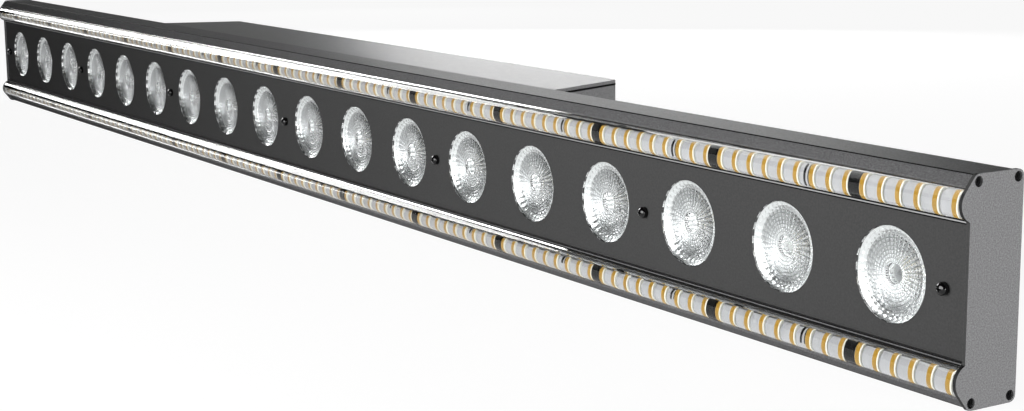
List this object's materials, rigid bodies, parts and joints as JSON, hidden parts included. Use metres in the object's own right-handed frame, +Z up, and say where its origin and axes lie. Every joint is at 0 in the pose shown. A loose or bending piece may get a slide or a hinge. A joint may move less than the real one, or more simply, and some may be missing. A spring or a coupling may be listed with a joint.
{
  "type": "led wash light",
  "caption": "Long stage wash bar with a row of collimating lenses between two clear light rods, a rear control box and two folding brackets.",
  "frame": {"origin": "middle of the footprint, on the surface that the bar stands on", "axes": "+X along the bar to the end cap that is at the viewer's right when the lenses face the viewer, -Y the way the light shines, +Z up"},
  "size_m": [1.007, 0.0964, 0.077],
  "materials": {
    "powder_coat": "fine textured powder coat, satin",
    "panel_coat": "smooth satin coat",
    "lens_acrylic": "clear polished acrylic",
    "rod_acrylic": "clear polished acrylic rod",
    "strip_board": "white solder mask with yellow lamps",
    "lamp_board": "white solder mask",
    "black_screws": "black oxide",
    "window_acrylic": "smoked gloss",
    "circuit_board": "green solder mask",
    "button_rubber": "matt",
    "power_in_nylon": "moulded, satin",
    "power_out_nylon": "moulded, satin",
    "socket_metal": "nickelled, satin",
    "supply_case": "folded sheet",
    "lug_aluminium": "black anodised",
    "bracket_steel": "black powder coat",
    "knob_nylon": "moulded, matt"
  },
  "bodies": {
    "fixture": {"housing_extrusion": "powder_coat", "end_cap_left": "powder_coat", "end_cap_right": "powder_coat", "control_box_tray": "powder_coat", "control_box_cover": "powder_coat", "front_panel": "panel_coat", "lens_01": "lens_acrylic", "lens_02": "lens_acrylic", "lens_03": "lens_acrylic", "lens_04": "lens_acrylic", "lens_05": "lens_acrylic", "lens_06": "lens_acrylic", "lens_07": "lens_acrylic", "lens_08": "lens_acrylic", "lens_09": "lens_acrylic", "lens_10": "lens_acrylic", "lens_11": "lens_acrylic", "lens_12": "lens_acrylic", "lens_13": "lens_acrylic", "lens_14": "lens_acrylic", "lens_15": "lens_acrylic", "lens_16": "lens_acrylic", "lens_17": "lens_acrylic", "lens_18": "lens_acrylic", "light_rod_upper": "rod_acrylic", "light_rod_lower": "rod_acrylic", "led_strip_upper": "strip_board", "led_strip_lower": "strip_board", "led_board": "lamp_board", "panel_screw_1": "black_screws", "panel_screw_2": "black_screws", "panel_screw_3": "black_screws", "panel_screw_4": "black_screws", "panel_screw_5": "black_screws", "panel_screw_6": "black_screws", "panel_screw_7": "black_screws", "display_window": "window_acrylic", "control_board": "circuit_board", "driver_board": "circuit_board", "power_in_socket": "power_in_nylon", "power_out_socket": "power_out_nylon", "dmx_in_socket": "socket_metal", "dmx_out_socket": "socket_metal", "safety_eye": "socket_metal", "power_supply": "supply_case", "bracket_lug_left": "lug_aluminium", "bracket_lug_right": "lug_aluminium"},
    "bracket_left": {"bracket_left": "bracket_steel"},
    "knob_left_1": {"bracket_knob_left_1": "knob_nylon"},
    "knob_left_2": {"bracket_knob_left_2": "knob_nylon"},
    "bracket_right": {"bracket_right": "bracket_steel"},
    "knob_right_1": {"bracket_knob_right_1": "knob_nylon"},
    "knob_right_2": {"bracket_knob_right_2": "knob_nylon"},
    "button_1": {"menu_button_1": "button_rubber"},
    "button_2": {"menu_button_2": "button_rubber"},
    "button_3": {"menu_button_3": "button_rubber"},
    "button_4": {"menu_button_4": "button_rubber"},
    "latch": {"dmx_out_latch": "socket_metal"}
  },
  "joints": [
    {"name": "bracket_left_tilt", "type": "hinge", "parent": "fixture", "child": "bracket_left", "pos_m": [-0.365, -0.0013, 0.0385], "axis": [1, 0, 0], "range_deg": [-90, 90]},
    {"name": "knob_left_1_turn", "type": "hinge", "parent": "fixture", "child": "knob_left_1", "pos_m": [-0.365, -0.0013, 0.0385], "axis": [-1, 0, 0], "range_deg": [0, 360]},
    {"name": "knob_left_2_turn", "type": "hinge", "parent": "fixture", "child": "knob_left_2", "pos_m": [-0.365, -0.0013, 0.0385], "axis": [1, 0, 0], "range_deg": [0, 360]},
    {"name": "bracket_right_tilt", "type": "hinge", "parent": "fixture", "child": "bracket_right", "pos_m": [0.365, -0.0013, 0.0385], "axis": [1, 0, 0], "range_deg": [-90, 90]},
    {"name": "knob_right_1_turn", "type": "hinge", "parent": "fixture", "child": "knob_right_1", "pos_m": [0.365, -0.0013, 0.0385], "axis": [-1, 0, 0], "range_deg": [0, 360]},
    {"name": "knob_right_2_turn", "type": "hinge", "parent": "fixture", "child": "knob_right_2", "pos_m": [0.365, -0.0013, 0.0385], "axis": [1, 0, 0], "range_deg": [0, 360]},
    {"name": "button_1_press", "type": "slide", "parent": "fixture", "child": "button_1", "axis": [0, -1, 0], "range_m": [0, 0.0008], "stiffness_N_per_m": 400},
    {"name": "button_2_press", "type": "slide", "parent": "fixture", "child": "button_2", "axis": [0, -1, 0], "range_m": [0, 0.0008], "stiffness_N_per_m": 400},
    {"name": "button_3_press", "type": "slide", "parent": "fixture", "child": "button_3", "axis": [0, -1, 0], "range_m": [0, 0.0008], "stiffness_N_per_m": 400},
    {"name": "button_4_press", "type": "slide", "parent": "fixture", "child": "button_4", "axis": [0, -1, 0], "range_m": [0, 0.0008], "stiffness_N_per_m": 400},
    {"name": "latch_press", "type": "slide", "parent": "fixture", "child": "latch", "axis": [0, -1, 0], "range_m": [0, 0.0009], "stiffness_N_per_m": 400}
  ]
}
